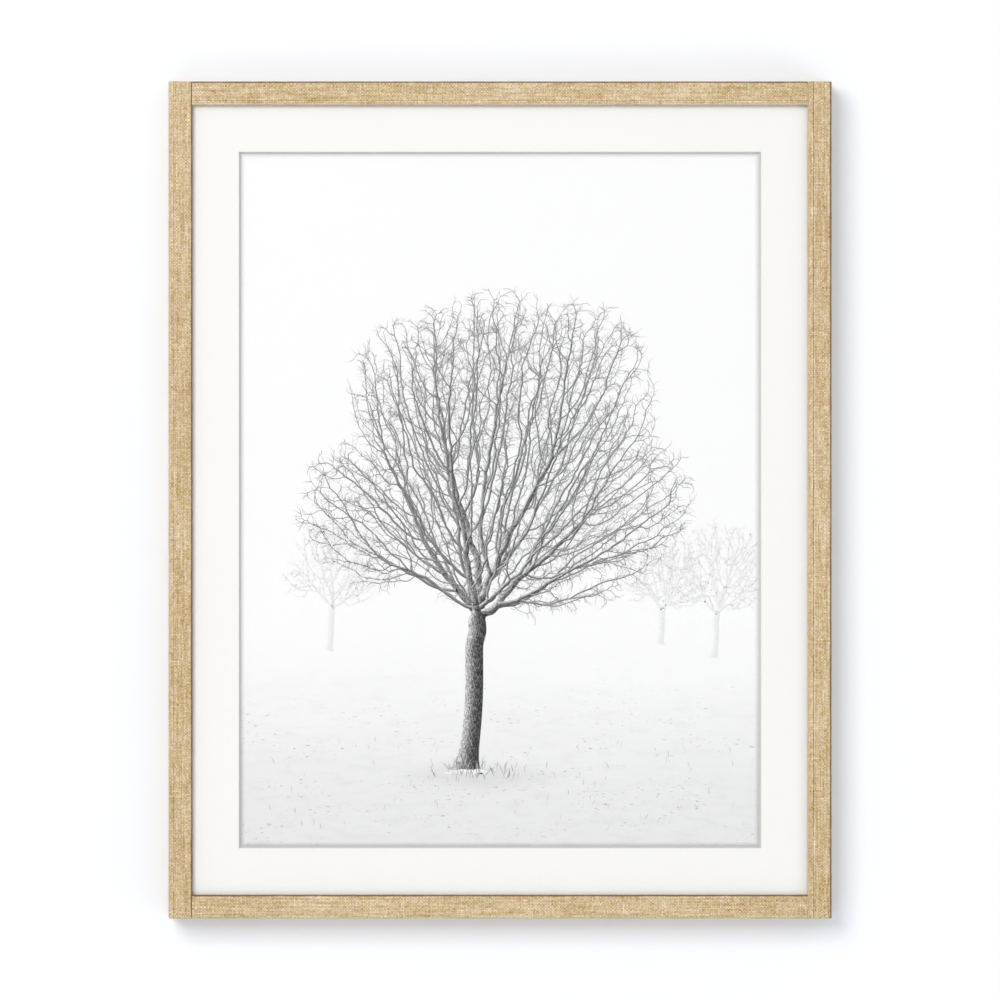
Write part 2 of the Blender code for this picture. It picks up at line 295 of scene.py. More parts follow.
# ---------------------------------------------------------------- linen


def linen_paint():
    """Natural linen: threads that pass over and under, each with its own tint, painted shade on their flanks
    and in the gaps between them, and a painted shade line along one front edge.

    The Cloth map counts threads: U across the crosswise threads, V across the lengthwise ones.
    """
    paint = Paint("linen_weave", roughness=0.88)
    along, across, _ = paint.split(paint.uv("Cloth"))
    column, row = paint.math("FLOOR", along), paint.math("FLOOR", across)
    in_column = paint.less(paint.math("FRACT", along), 0.5)
    in_row = paint.less(paint.math("FRACT", across), 0.5)
    crosswise_on_top = paint.math("MODULO", paint.plus(column, row), 2.0)

    def thread_tints(which, run, change, seed):
        """Three slow random values along one thread."""
        place = paint.join(paint.times(run, change), paint.times(which, 3.37), seed)
        return paint.noise(place, 1.0, 3.0, 0.65, "Color")

    lengthwise = thread_tints(row, along, 0.05, 1.5)
    crosswise = thread_tints(column, across, 0.12, 7.5)
    tone, hue, _ = paint.split(paint.mix(crosswise_on_top, lengthwise, crosswise))
    streak = paint.noise(paint.join(paint.times(along, 0.03), paint.times(across, 0.8), 4.0), 1.0, 2.0)
    fibre_place = paint.mix(
        crosswise_on_top,
        paint.join(paint.times(along, 0.9), paint.times(across, 9.0), 2.0),
        paint.join(paint.times(along, 9.0), paint.times(across, 0.9), 5.0),
    )
    fibres = paint.noise(fibre_place, 1.0, 2.0)
    cell = paint.dice(paint.join(column, row, 3.0))
    place = paint.place()
    drift = paint.noise(place, 9.0, 3.0, 0.6)
    blotch = paint.noise(place, 95.0, 2.0, 0.6)
    rose, pale, _ = paint.split(paint.noise(place, 150.0, 2.0, 0.6, "Color"))
    broken = paint.between(paint.dice(paint.join(column, 1.0, 9.0)), 0.0, 0.5, 0.45, 1.0)
    seam = paint.times(paint.attribute("seam"), broken)

    top_across = paint.mix(crosswise_on_top, paint.join(in_row), paint.join(in_column))
    from_crown, _, _ = paint.split(top_across)
    # Painted shade on the flanks of each top thread, and in the gaps at the corners of each crossing.
    flank_shade = paint.between(paint.math("ABSOLUTE", from_crown), 0.22, 0.50)
    corner = paint.times(
        paint.between(paint.math("ABSOLUTE", in_column), 0.22, 0.50),
        paint.between(paint.math("ABSOLUTE", in_row), 0.22, 0.50),
    )
    gap_size = paint.dice(paint.join(paint.math("ROUND", along), paint.math("ROUND", across)))

    # From 0, dark straw, to 1, pale flax. What lies deep or in a gap is painted in shade, below 0.
    level = 0.40
    for value, middle, share in (
        (crosswise_on_top, 0.5, -0.33),
        (tone, 0.5, 1.8),
        (streak, 0.5, 1.35),
        (cell, 0.5, 0.62),
        (fibres, 0.5, 1.0),
        (drift, 0.5, 0.6),
        (blotch, 0.5, 0.4),
        (seam, 0.0, 1.25),
        (flank_shade, 0.0, -0.30),
        (paint.times(corner, gap_size), 0.0, -1.7),
    ):
        level = paint.plus(level, paint.times(paint.less(value, middle), share))
    level = paint.between(level, -1.1, 1.6, -1.1, 1.6, smooth=False)
    colour = paint.mix(level, (0.502, 0.362, 0.184), (0.778, 0.648, 0.468))
    yellow = paint.plus(paint.times(paint.less(hue, 0.5), 0.6), paint.times(paint.less(pale, 0.5), 0.3))
    green = paint.less(1.0, paint.times(paint.less(rose, 0.5), 0.25))
    colour = paint.stretched(colour, paint.join(1.0, green, paint.less(1.0, yellow)))

    # A dark line painted along one front edge stands for the shade on that rounded edge; ragged noise and
    # dark knots break it up.
    ragged = paint.noise(paint.join(paint.times(along, 0.35), 0.0, 6.0), 1.0, 2.0)
    lumps = paint.noise(paint.join(paint.times(along, 0.14), 0.0, 8.0), 1.0, 1.0)
    knots = paint.between(lumps, 0.68, 0.74, 0.0, 0.25)
    line = paint.plus(knots, paint.times(paint.less(ragged, 0.5), 0.30))
    line = paint.plus(paint.attribute("edge_shade_line"), line)
    colour = paint.mix(paint.between(line, 0.46, 0.70, 0.0, 0.92), colour, (0.150, 0.090, 0.036))
    # A greyer band along the other front edge.
    colour = paint.mix(paint.times(paint.attribute("edge_greying"), 0.45), colour, (0.52, 0.46, 0.36))
    paint.set("Base Color", colour)
    paint.set("Sheen Weight", 0.12)
    paint.set("Roughness", paint.between(fibres, 0.3, 0.7, 0.80, 0.95))

    crown = paint.math("COSINE", paint.times(from_crown, math.pi))
    height = paint.plus(paint.times(crown, 0.7), paint.times(fibres, 0.35))
    height = paint.less(height, paint.times(corner, 0.9))
    paint.bump(height, RELIEF, 0.8)
    return paint


def uneven_threads(length, rng):
    """Places along a length of each thread's edges and middle, for threads of uneven width."""
    count = round(length / THREAD_PITCH)
    widths = rng.normal(1.0, 0.17, count).clip(0.6, 1.5)
    edges = np.concatenate(([0.0], np.cumsum(widths))) * length / widths.sum()
    places = np.empty(2 * count + 1)
    places[0::2] = edges
    places[1::2] = (edges[1:] + edges[:-1]) / 2
    return places


def slow_noise(count, lines, every, rng):
    """One smooth random run of values for each line, with a new one every few steps."""
    knots = rng.normal(0.0, 1.0, (count // every + 3, lines))
    at = np.arange(count) / every
    whole = at.astype(int)
    part = (at - whole)[:, None]
    part = part * part * (3 - 2 * part)
    return knots[whole] * (1 - part) + knots[whole + 1] * part


class Rail:
    """One rail's place, and the way from its own box to the frame's axes.

    In the rail's own terms a point is (across, deep, along): across from the outer side to the inner one,
    deep from the front to the back, and along from the left or lower end.
    """

    def __init__(self, side):
        self.side = side
        self.low, self.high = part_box(f"linen_{side}")
        self.upright = side in ("left", "right")
        size = self.high - self.low
        self.length = size.z if self.upright else size.x
        self.width = size.x if self.upright else size.z
        self.depth = size.y
        self.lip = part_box("glazing")[0].y - self.low.y - GAP
        if not self.upright:
            self.low = self.low - Vector((END_REACH, 0.0, 0.0))
            self.length += 2 * END_REACH

    def rounded(self, points):
        """Points on the rail's sharp box moved onto its eased one, and the normals there."""
        ends = EASING if self.upright else -1.0
        low = np.array((EASING, EASING, ends))
        high = np.array((self.width - EASING, self.depth + 1.0, self.length - ends))
        inside = points.clip(low, high)
        normals = points - inside
        normals /= np.linalg.norm(normals, axis=-1, keepdims=True)
        return inside + EASING * normals, normals

    def placed(self, points):
        across, deep, along = points[..., 0], points[..., 1], points[..., 2]
        y = self.low.y + deep
        if not self.upright:
            # The ends follow the eased edges of the stiles that they butt against.
            spread = 0.5 * (EASING - deep).clip(0.0) ** 2 / EASING
            along = along + spread * (2 * along / self.length - 1)
        if self.side == "left":
            return np.stack((self.low.x + across, y, self.low.z + along), -1)
        if self.side == "right":
            return np.stack((self.high.x - across, y, self.low.z + along), -1)
        if self.side == "top":
            return np.stack((self.low.x + along, y, self.high.z - across), -1)
        return np.stack((self.low.x + along, y, self.low.z + across), -1)


class Weave:
    """Gathers patches of woven cloth into one mesh, each a closed sheet with its threads in relief."""

    def __init__(self, rail, rng):
        self.rail = rail
        self.rng = rng
        self.points = []
        self.faces = []
        self.cloth = []  # thread counts, for each face corner
        self.bake = []  # places on the bake map in metres, for each face corner
        self.marks = {"edge_shade_line": [], "edge_greying": [], "seam": []}
        self.count = 0

    def add_patch(self, surface, long_size, wide_size, bake_place, strips=1, marks=None):
        """A patch of cloth. Surface says where on the rail's sharp box a place (u, v) in metres lies.

        Marks give, for each name, a value at every v: the lines that run along the cloth.
        """
        rng = self.rng
        us, vs = uneven_threads(long_size, rng), uneven_threads(wide_size, rng)
        columns, rows = len(us), len(vs)
        u = np.repeat(us[:, None], rows, 1)
        v = np.repeat(vs[None, :], columns, 0)
        hold = np.ones((columns, rows))
        hold[[0, -1], :] = 0
        hold[:, [0, -1]] = 0
        u = u + WANDER * 0.6 * hold * slow_noise(rows, columns, 9, rng).T
        v = v + WANDER * 0.6 * hold * slow_noise(columns, rows, 14, rng)
        outside, normals = self.rail.rounded(surface(u.clip(0, long_size), v.clip(0, wide_size)))

        at_column_middle = (np.arange(columns) % 2)[:, None]
        at_row_middle = (np.arange(rows) % 2)[None, :]
        middles = at_column_middle + at_row_middle
        lift = np.choose(middles, (-1.0, 0.1, 1.0)) * rng.normal(1.0, 0.25, (columns, rows))
        thick = 0.45 * slow_noise(columns, rows, 10, rng) + 0.45 * slow_noise(rows, columns, 8, rng).T
        lift = (lift + thick * (middles > 0)) * hold
        points = outside + RELIEF * lift[..., None] * normals

        keep_u = sorted({*range(0, columns, INNER_COLUMNS), columns - 1})
        keep_v = sorted({*range(0, rows, INNER_ROWS), rows - 1})
        inner = (outside - LINEN_THICKNESS * normals)[np.ix_(keep_u, keep_v)]

        first = self.count
        inner_first = first + columns * rows
        self.points.append(self.rail.placed(points).reshape(-1, 3))
        self.points.append(self.rail.placed(inner).reshape(-1, 3))
        self.count = inner_first + len(keep_u) * len(keep_v)

        def outer_at(i, j):
            return first + i * rows + j

        def inner_at(a, b):
            return inner_first + a * len(keep_v) + b

        strip_length = long_size / strips
        gap = THREAD_PITCH

        def on_outer(i, j, strip):
            left = us[min(i, columns - 1)] - strip * strip_length
            return (bake_place[0] + left, bake_place[1] + vs[j] + strip * (wide_size + gap))

        def on_inner(i, j):
            """The hidden side's place on the bake map: small, and past the strips."""
            beside = bake_place[0] + strip_length + gap
            above = bake_place[1] + strips * (wide_size + gap)
            start = (beside, bake_place[1] + 0.12) if strips > 1 else (bake_place[0], above)
            return (start[0] + us[i] * 0.048, start[1] + vs[j] * 0.12)

        def add_face(corners, steps, bake):
            self.faces.append(corners)
            self.cloth.extend((i / 2, j / 2) for i, j in steps)
            self.bake.extend(bake)

        strip_of = np.minimum((us[:-1] / strip_length).astype(int), strips - 1)
        for i in range(columns - 1):
            strip = int(strip_of[i])
            for j in range(rows - 1):
                steps = ((i, j), (i + 1, j), (i + 1, j + 1), (i, j + 1))
                add_face([outer_at(*s) for s in steps], steps, [on_outer(*s, strip) for s in steps])

        for a in range(len(keep_u) - 1):
            for b in range(len(keep_v) - 1):
                corners = ((a, b), (a, b + 1), (a + 1, b + 1), (a + 1, b))
                steps = [(keep_u[x], keep_v[y]) for x, y in corners]
                add_face([inner_at(*c) for c in corners], steps, [on_inner(*s) for s in steps])

        for b, row in ((0, 0), (len(keep_v) - 1, rows - 1)):
            for a in range(len(keep_u) - 1):
                fine = range(keep_u[a], keep_u[a + 1] + 1)
                steps = [(i, row) for i in fine] + [(keep_u[a + 1], row), (keep_u[a], row)]
                corners = [outer_at(i, row) for i in fine] + [inner_at(a + 1, b), inner_at(a, b)]
                add_face(corners, steps, [on_inner(*s) for s in steps])
        for a, column in ((0, 0), (len(keep_u) - 1, columns - 1)):
            for b in range(len(keep_v) - 1):
                fine = range(keep_v[b], keep_v[b + 1] + 1)
                steps = [(column, j) for j in fine] + [(column, keep_v[b + 1]), (column, keep_v[b])]
                corners = [outer_at(column, j) for j in fine] + [inner_at(a, b + 1), inner_at(a, b)]
                add_face(corners, steps, [on_inner(*s) for s in steps])

        for name, store in self.marks.items():
            across = marks[name](vs) if marks else np.zeros(rows)
            fine = np.repeat(across[None, :], columns, 0)
            store.append(fine.ravel())
            store.append(fine[np.ix_(keep_u, keep_v)].ravel())

    def make(self, name, paint):
        mesh = bpy.data.meshes.new(name)
        mesh.from_pydata(np.concatenate(self.points).tolist(), [], self.faces)
        corners = np.array(self.bake)
        side = (corners.max(0) - corners.min(0)).max()
        # Baked places are laid out before the cloth's, so that the bake finds its own map first.
        bake = mesh.uv_layers.new(name="OFBake")
        bake.data.foreach_set("uv", ((corners - corners.min(0)) / side * 0.996 + 0.002).ravel())
        cloth = mesh.uv_layers.new(name="Cloth")
        cloth.data.foreach_set("uv", (np.array(self.cloth, dtype=float) + self.cloth_start()).ravel())
        for label, store in self.marks.items():
            layer = mesh.attributes.new(label, "FLOAT", "POINT")
            layer.data.foreach_set("value", np.concatenate(store))
        shape = bmesh.new()
        shape.from_mesh(mesh)
        bmesh.ops.recalc_face_normals(shape, faces=shape.faces)
        for face in shape.faces:
            face.smooth = len(face.verts) == 4
        shape.to_mesh(mesh)
        shape.free()
        mesh.materials.append(paint.material)
        cloth_piece = bpy.data.objects.new(name, mesh)
        bpy.context.collection.objects.link(cloth_piece)
        return cloth_piece

    def cloth_start(self):
        """An even count of threads for each rail, so that no two rails carry the same threads."""
        order = ("left", "right", "top", "bottom").index(self.rail.side)
        return np.array((1000.0 * order, 200.0 * order))


def make_linen(side, paint, seed):
    """A rail's linen: the wrap over the outer side, front and lip, and a stile's ends and tucked-in parts."""
    rail = Rail(side)
    weave = Weave(rail, np.random.default_rng(seed))
    outer, face, lip = rail.depth, rail.width, rail.lip
    girth = outer + face + lip

    def wrap(u, v):
        across = (v - outer).clip(0.0, face)
        deep = np.where(v < outer, outer - v, (v - outer - face).clip(0.0, lip))
        return np.stack((across, deep, u), -1)

    # A dark line of painted shade runs along one front edge, the inner one on the left and below, and a
    # greyer band along the other.
    edges = (outer + face, outer) if side in ("left", "bottom") else (outer, outer + face)

    def near(edge, reach, fade):
        return lambda v: ((reach - abs(v - edge)) / fade + 1).clip(0.0, 1.0)

    def seam(v):
        """A gap between two threads that runs near the left or lower edge, and the pale threads beside it."""
        from_edge = SEAM_PLACE if side in ("left", "bottom") else face - SEAM_PLACE
        gap = 2 * int(abs(v[::2] - outer - from_edge).argmin())
        tint = np.zeros(len(v))
        tint[gap - 1 : gap + 2] = np.array((0.45, -1.0, 0.45)) * SEAM_STRENGTH[side]
        return tint

    marks = {
        "edge_shade_line": near(edges[0], 0.0, 0.003),
        "edge_greying": near(edges[1], 0.0006, 0.0008),
        "seam": seam,
    }
    weave.add_patch(wrap, rail.length, girth, (0.0, 0.0), BAKE_STRIPS, marks)
    if rail.upright:
        beside = rail.length / BAKE_STRIPS + 2 * THREAD_PITCH
        tuck = rail.high.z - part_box("glazing")[1].z - GLAZING_PLAY
        for k, (end, onwards) in enumerate(((0.0, 1), (rail.length, -1))):

            def cap(u, v, end=end):
                return np.stack((v, u, np.full(u.shape, end)), -1)

            def tucked(u, v, end=end, onwards=onwards):
                return np.stack((np.full(u.shape, face), lip + GAP + v, end + onwards * u), -1)

            weave.add_patch(cap, outer, face, (beside, k * 0.026))
            weave.add_patch(tucked, tuck, outer - lip - GAP, (beside + k * 0.016, 0.060))
    cloth = weave.make(f"linen_cloth_{side}", paint)
    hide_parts(f"linen_{side}")
    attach(cloth, "root")


# ---------------------------------------------------------------- mat and glazing


def mat_paint():
    """Off-white mat board: fine paper grain on its face, and in the window's bevel a smooth cut core, painted
    grey for the shade along the window's edge.
    """
    paint = Paint("mat_board", roughness=0.92)
    place = paint.place()
    grain = paint.noise(place, 900.0, 3.0, 0.6)
    cloud = paint.noise(place, 14.0, 2.0)
    face = paint.mix(cloud, (0.836, 0.827, 0.808), (0.846, 0.837, 0.818))
    face = paint.shade(face, paint.between(grain, 0.3, 0.7, 0.985, 1.01, smooth=False))
    # The bevel, found by its slant, gets the cut core's colour, painted grey for the shade along the window's
    # edge.
    facing = paint.node("ShaderNodeNewGeometry").outputs["True Normal"]
    _, towards, _ = paint.split(facing)
    sloped = paint.between(paint.math("ABSOLUTE", towards), 0.6, 0.9, 1.0, 0.0)
    layers = paint.noise(paint.stretched(place, (60.0, 2600.0, 60.0)), 1.0, 2.0)
    core = paint.mix(layers, (0.565, 0.565, 0.555), (0.610, 0.610, 0.600))
    paint.set("Base Color", paint.mix(sloped, face, core))
    paint.bump(grain, 0.00004, 0.5)
    return paint


def glazing_paint():
    """Clear picture glazing with a coating that keeps its reflections weak."""
    paint = Paint("clear_glazing")
    clear = paint.node("ShaderNodeBsdfTransparent")
    clear.inputs["Color"].default_value = (0.998, 0.998, 0.998, 1.0)
    gloss = paint.node("ShaderNodeBsdfGlossy")
    wiped = paint.noise(paint.stretched(paint.place(), (3.0, 3.0, 9.0)), 1.0, 3.0)
    paint.put(gloss.inputs["Roughness"], paint.between(wiped, 0.35, 0.7, 0.015, 0.05))
    share = paint.node("ShaderNodeFresnel")
    share.inputs["IOR"].default_value = 1.13
    inside = paint.node("ShaderNodeNewGeometry").outputs["Backfacing"]
    surface = paint.node("ShaderNodeMixShader")
    paint.put(surface.inputs[0], paint.times(share.outputs[0], paint.less(1.0, inside)))
    paint.put(surface.inputs[1], clear.outputs[0])
    paint.put(surface.inputs[2], gloss.outputs[0])
    paint.put(paint.tree.nodes["Material Output"].inputs["Surface"], surface.outputs[0])
    return paint


# ---------------------------------------------------------------- the print


PAPER_WHITE = (0.862, 0.862, 0.862)
FOOT = (-0.030, -0.238)  # where the tree stands, from the window's middle
FAR_TREES = (((-0.150, -0.132), 0.120, 41), ((0.140, -0.126), 0.095, 42), ((0.187, -0.138), 0.125, 43))


def paper_paint():
    """Print paper with a white sky, snow with soft drifts and small dark flecks below, and a painted shadow
    of the mat along the window's edges.
    """
    paint = Paint("print_paper", roughness=0.85)
    place = paint.place()
    x, _, z = paint.split(place)
    z = paint.less(z, MIDDLE_Z)
    rolling = paint.noise(paint.stretched(place, (7.0, 0.0, 30.0)), 1.0, 3.0)
    level = paint.plus(z, paint.times(paint.less(rolling, 0.5), 0.05))
    snow = paint.between(level, -0.295, -0.10, 0.155, 0.0)
    hollows = paint.noise(paint.stretched(place, (40.0, 0.0, 150.0)), 1.0, 4.0, 0.6)
    ground = paint.between(z, -0.20, -0.12, 1.0, 0.0)
    dark = paint.plus(snow, paint.times(ground, paint.between(hollows, 0.45, 0.75, 0.0, 0.05)))

    across = paint.times(paint.less(x, FOOT[0] + 0.012), 11.0)
    down = paint.times(paint.less(z, FOOT[1] - 0.004), 60.0)
    far = paint.math("SQRT", paint.plus(paint.times(across, across), paint.times(down, down)))
    dark = paint.plus(dark, paint.between(far, 0.1, 1.0, 0.10, 0.0))

    flecks = paint.noise(paint.stretched(place, (170.0, 0.0, 800.0)), 1.0, 2.0, 0.5)
    patches = paint.noise(paint.stretched(place, (16.0, 0.0, 45.0)), 1.0, 2.0)
    sown = paint.times(paint.between(flecks, 0.64, 0.70), paint.between(patches, 0.44, 0.60))
    dark = paint.plus(dark, paint.times(paint.times(sown, ground), 0.50))
    # Painted shadow of the mat: the paper is darker within 3.6 mm of the window's bevel, on all four sides.
    from_side = paint.less(WINDOW_HALF_WIDTH, paint.math("ABSOLUTE", x))
    from_end = paint.less(WINDOW_HALF_HEIGHT, paint.math("ABSOLUTE", z))
    from_bevel = paint.math("MINIMUM", from_side, from_end)
    dark = paint.plus(dark, paint.between(from_bevel, 0.0, 0.0036, 0.25, 0.0, smooth=False))
    grain = paint.noise(place, 1500.0, 2.0)
    light = paint.less(1.0, dark)
    light = paint.times(light, paint.between(grain, 0.3, 0.7, 0.992, 1.006, smooth=False))
    paint.set("Base Color", paint.shade(PAPER_WHITE, light))
    paint.bump(grain, 0.00002, 0.4)
    return paint


def ink_paint():
    """Printing ink: bark with frost on its lit side, as dark as each stroke says."""
    paint = Paint("print_ink", roughness=0.85)
    shade, side = paint.attribute("shade"), paint.attribute("side")
    girth = paint.attribute("girth")
    stroke = paint.uv("Stroke")
    furrows = paint.noise(paint.stretched(stroke, (1500.0, 260.0, 0.0)), 1.0, 3.0, 0.65)
    scales = paint.noise(paint.stretched(stroke, (420.0, 420.0, 0.0)), 1.0, 3.0, 0.7)
    rough = paint.between(girth, 0.0006, 0.0030)
    bark = paint.plus(
        paint.between(furrows, 0.35, 0.65, -0.34, 0.30, smooth=False),
        paint.between(scales, 0.35, 0.70, -0.14, 0.18, smooth=False),
    )
    lit = paint.between(side, 0.05, 0.75, 0.30, 1.0)
    dark = paint.times(shade, paint.plus(lit, paint.times(bark, rough)))
    frost = paint.noise(paint.stretched(stroke, (700.0, 500.0, 0.0)), 1.0, 4.0, 0.7)
    rime = paint.times(paint.between(frost, 0.48, 0.62), paint.between(side, 0.15, 0.55, 0.80, 0.0))
    dark = paint.times(dark, paint.less(1.0, paint.times(rime, paint.between(girth, 0.0004, 0.0016))))
    light = paint.math("SUBTRACT", 1.0, dark, clamp=True)
    light = paint.times(light, light)
    paint.set("Base Color", paint.mix(light, (0.012, 0.012, 0.013), PAPER_WHITE))
    return paint


class Strokes:
    """Gathers flat tapered strokes of ink, just in front of the paper, into one mesh."""

    def __init__(self):
        self.points = []
        self.faces = []
        self.shade = []
        self.side = []
        self.girth = []
        self.stroke = []

    def add(self, line, radii, shades, depths):
        """One stroke through points (x, z) from the window's middle. Depth is from 0, far, to 1, near."""
        steps = np.gradient(line, axis=0)
        steps /= np.linalg.norm(steps, axis=1)[:, None] + 1e-12
        outwards = np.stack((-steps[:, 1], steps[:, 0]), 1)
        along = np.concatenate(([0.0], np.cumsum(np.linalg.norm(np.diff(line, axis=0), axis=1))))
        first = len(self.points)
        lit_from = np.array((-0.62, 0.78))
        layer = PAPER_Y - 0.00003 - 0.00009 * depths
        for sign in (1, -1):
            edge = line + sign * radii[:, None] * outwards
            self.points.extend(zip(edge[:, 0], layer, edge[:, 1] + MIDDLE_Z))
            self.side.extend(0.5 - 0.5 * sign * (outwards @ lit_from))
            self.shade.extend(shades)
            self.girth.extend(radii)
            self.stroke.extend(zip(sign * radii + 0.05 * (first % 97), along))
        count = len(line)
        for k in range(count - 1):
            self.faces.append((first + k, first + k + 1, first + count + k + 1, first + count + k))

    def make(self, name, paint):
        mesh = bpy.data.meshes.new(name)
        mesh.from_pydata(self.points, [], self.faces)
        for label in ("shade", "side", "girth"):
            layer = mesh.attributes.new(label, "FLOAT", "POINT")
            layer.data.foreach_set("value", getattr(self, label))
        corners = np.array([index for face in self.faces for index in face])
        points = np.array(self.points)[corners]
        bake = mesh.uv_layers.new(name="OFBake")
        spread = points[:, [0, 2]] - (0.0, MIDDLE_Z)
        bake.data.foreach_set("uv", (spread / (2 * WINDOW_HALF_HEIGHT) + 0.5).ravel())
        stroke = mesh.uv_layers.new(name="Stroke")
        stroke.data.foreach_set("uv", np.array(self.stroke)[corners].ravel())
        mesh.materials.append(paint.material)
        drawn = bpy.data.objects.new(name, mesh)
        bpy.context.collection.objects.link(drawn)
        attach(drawn, "root")
        return drawn


def crown_points(lobes, count, rng):
    """Places that twigs reach for, spread through egg-shaped lobes (x, y, z, and their three radii)."""
    lobes = np.array(lobes)
    share = lobes[:, 3:].prod(1)
    chosen = lobes[rng.choice(len(lobes), count, p=share / share.sum())]
    directions = rng.normal(size=(count, 3))
    directions /= np.linalg.norm(directions, axis=1)[:, None]
    return chosen[:, :3] + directions * rng.random(count)[:, None] ** 0.28 * chosen[:, 3:]


def grow(goals, trunk, step, reach, kill, rng):
    """Branches that grow from the trunk, a step at a time, each towards the goals it is nearest to."""
    nodes = np.array(trunk)
    parents = np.arange(len(nodes)) - 1
    nearest = np.zeros(len(goals), int)
    distance = np.full(len(goals), np.inf)
    waiting = np.ones(len(goals), bool)
    new = np.arange(len(nodes))
    for _ in range(200):
        left = np.nonzero(waiting)[0]
        for some in np.array_split(new, len(new) // 400 + 1):
            apart = np.linalg.norm(goals[left][:, None] - nodes[some][None], axis=2)
            closest = apart.argmin(1)
            apart = apart[np.arange(len(left)), closest]
            better = apart < distance[left]
            distance[left[better]] = apart[better]
            nearest[left[better]] = some[closest[better]]
        waiting &= distance > kill
        pulling = np.nonzero(waiting & (distance < reach))[0]
        if not len(pulling):
            break
        pull = goals[pulling] - nodes[nearest[pulling]]
        pull /= np.linalg.norm(pull, axis=1)[:, None]
        growing, which = np.unique(nearest[pulling], return_inverse=True)
        heading = np.zeros((len(growing), 3))
        np.add.at(heading, which, pull)
        heading /= np.linalg.norm(heading, axis=1)[:, None] + 1e-9
        onwards = nodes[growing] - nodes[parents[growing]]
        onwards /= np.linalg.norm(onwards, axis=1)[:, None] + 1e-9
        heading += 0.5 * onwards + rng.normal(0, 0.25, heading.shape) + (0, 0, 0.12)
        heading /= np.linalg.norm(heading, axis=1)[:, None]
        new = np.arange(len(nodes), len(nodes) + len(growing))
        nodes = np.concatenate((nodes, nodes[growing] + heading * step))
        parents = np.concatenate((parents, growing))
    return nodes, parents


def relaxed(nodes, parents):
    """The branches with their small kinks eased."""
    children = np.bincount(parents[1:], minlength=len(nodes))
    inner = np.nonzero((parents >= 0) & (children > 0))[0]
    for _ in range(2):
        following = np.zeros_like(nodes)
        np.add.at(following, parents[1:], nodes[1:])
        eased = nodes.copy()
        following = following[inner] / children[inner][:, None]
        eased[inner] = 0.5 * nodes[inner] + 0.25 * nodes[parents[inner]] + 0.25 * following
        nodes = eased
    return nodes


def branch_radii(parents, tip, power):
    """Each branch is as stout as what it carries: radius to a power adds up at every fork."""
    carried = np.zeros(len(parents))
    ends = np.bincount(parents[1:], minlength=len(parents)) == 0
    for k in range(len(parents) - 1, 0, -1):
        carried[k] += tip**power if ends[k] else 0.0
        carried[parents[k]] += carried[k]
    return carried ** (1 / power)


def branch_lines(parents, radii):
    """The tree as chains of nodes. Each goes on into the stoutest child, and the others start their own."""
    children = [[] for _ in parents]
    for k in range(1, len(parents)):
        children[parents[k]].append(k)
    starts = [(0, None)]
    while starts:
        node, before = starts.pop()
        chain = [node] if before is None else [before, node]
        while children[node]:
            stoutest, *others = sorted(children[node], key=lambda child: -radii[child])
            starts.extend((other, node) for other in others)
            node = stoutest
            chain.append(node)
        if len(chain) > 1:
            yield chain


def draw_tree(strokes, foot, height, lobes, goal_count, seed, dark, tip=0.00018, twigs=0.6):
    """A bare tree, grown and then drawn. Lobes are for a tree of height 1 that stands at the origin."""
    rng = np.random.default_rng(seed)
    trunk_height = 0.26
    rise = np.linspace(0.0, 1.0, 36)
    lean = 0.020 * rise + 0.006 * np.sin(rise * 3.6)
    trunk = np.stack((lean, 0 * rise, trunk_height * rise), 1)
    goals = crown_points(lobes, goal_count, rng)
    step, reach, kill = 0.0070, 0.175, 0.0117
    if goal_count < 3000:
        step, reach, kill = 0.012, 0.30, 0.024
    nodes, parents = grow(goals, trunk, step, reach, kill, rng)
    nodes = relaxed(nodes, parents)
    radii = branch_radii(parents, tip, 2.12)
    flare = 1 + 0.9 * np.exp(-nodes[:, 2] / 0.022)
    radii[: len(rise)] *= flare[: len(rise)]
    places = nodes[:, [0, 2]] * height + np.array(foot)
    depth = 0.5 - nodes[:, 1] / 0.6
    stout = (radii / radii[len(rise)]).clip(0, 1) ** 0.40
    shades = dark * (0.62 + 0.38 * stout) * (0.72 + 0.28 * depth.clip(0, 1))
    for chain in branch_lines(parents, radii):
        thick = radii[chain].copy()
        tint = shades[chain].copy()
        thick[0] = min(thick[0], thick[1] * 1.25)
        tint[0] = tint[1]
        strokes.add(places[chain], thick, tint, depth[chain].clip(0, 1))
    for k in np.nonzero(radii < 3.2 * tip)[0]:
        way = places[k] - places[parents[k]]
        heading = math.atan2(way[1], way[0])
        for _ in range(rng.poisson(twigs)):
            turn = heading + rng.choice((-1, 1)) * rng.uniform(0.35, 1.05)
            bend = turn + rng.normal(0.0, 0.35)
            reach = height * rng.uniform(0.008, 0.020) / 2
            middle = places[k] + reach * np.array((math.cos(turn), math.sin(turn)))
            end = middle + reach * np.array((math.cos(bend), math.sin(bend)))
            line = np.array((places[k], middle, end))
            thin = tip * np.array((0.95, 0.75, 0.35))
            strokes.add(line, thin, np.full(3, shades[k] * 0.8), np.full(3, depth[k].clip(0, 1)))


CROWN = (
    (0.07, 0.0, 0.65, 0.28, 0.25, 0.34),
    (0.30, 0.0, 0.55, 0.17, 0.18, 0.17),
    (-0.18, 0.0, 0.53, 0.17, 0.18, 0.17),
    (-0.07, 0.0, 0.77, 0.18, 0.18, 0.18),
    (0.22, 0.0, 0.77, 0.18, 0.16, 0.20),
    (0.14, 0.0, 0.43, 0.24, 0.16, 0.12),
)


